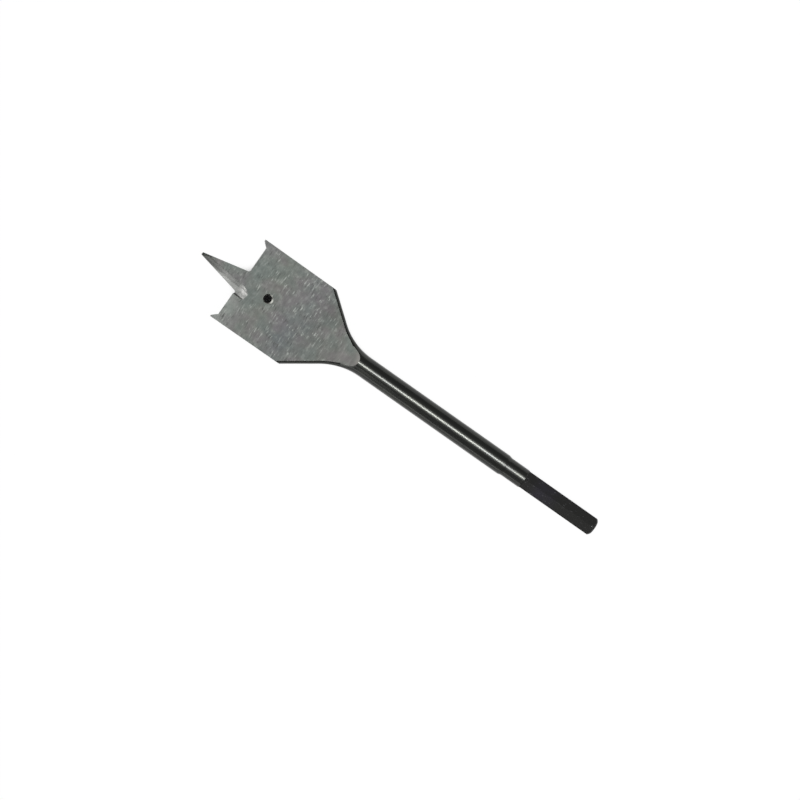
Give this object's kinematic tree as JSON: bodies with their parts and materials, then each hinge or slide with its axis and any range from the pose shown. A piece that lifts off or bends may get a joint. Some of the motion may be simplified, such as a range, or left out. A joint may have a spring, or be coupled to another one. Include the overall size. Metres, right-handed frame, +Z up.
{
  "type": "spade drill bit",
  "caption": "Flat spade bit for wood with a brad point, two cutting lips with side spurs, a hanging hole, a round shaft and a hex shank.",
  "frame": {"origin": "on the surface that the bit lies on, under the middle of its length, below the axis of the bit", "axes": "+X runs along the bit from the point to the hex shank, +Z points up from the surface that it lies on, +Y runs across it, towards the edge of the blade that touches that surface. The bit is rolled 8.12 degrees about its axis from level: the flat of the blade faces (0, 0.1413, 0.9900)"},
  "size_m": [0.1624, 0.0322, 0.0075],
  "materials": {
    "steel": "ground grey blade faces, black oxide on the forged neck, round shaft and hex shank"
  },
  "bodies": {
    "root": {"spade_bit": "steel"}
  },
  "joints": []
}
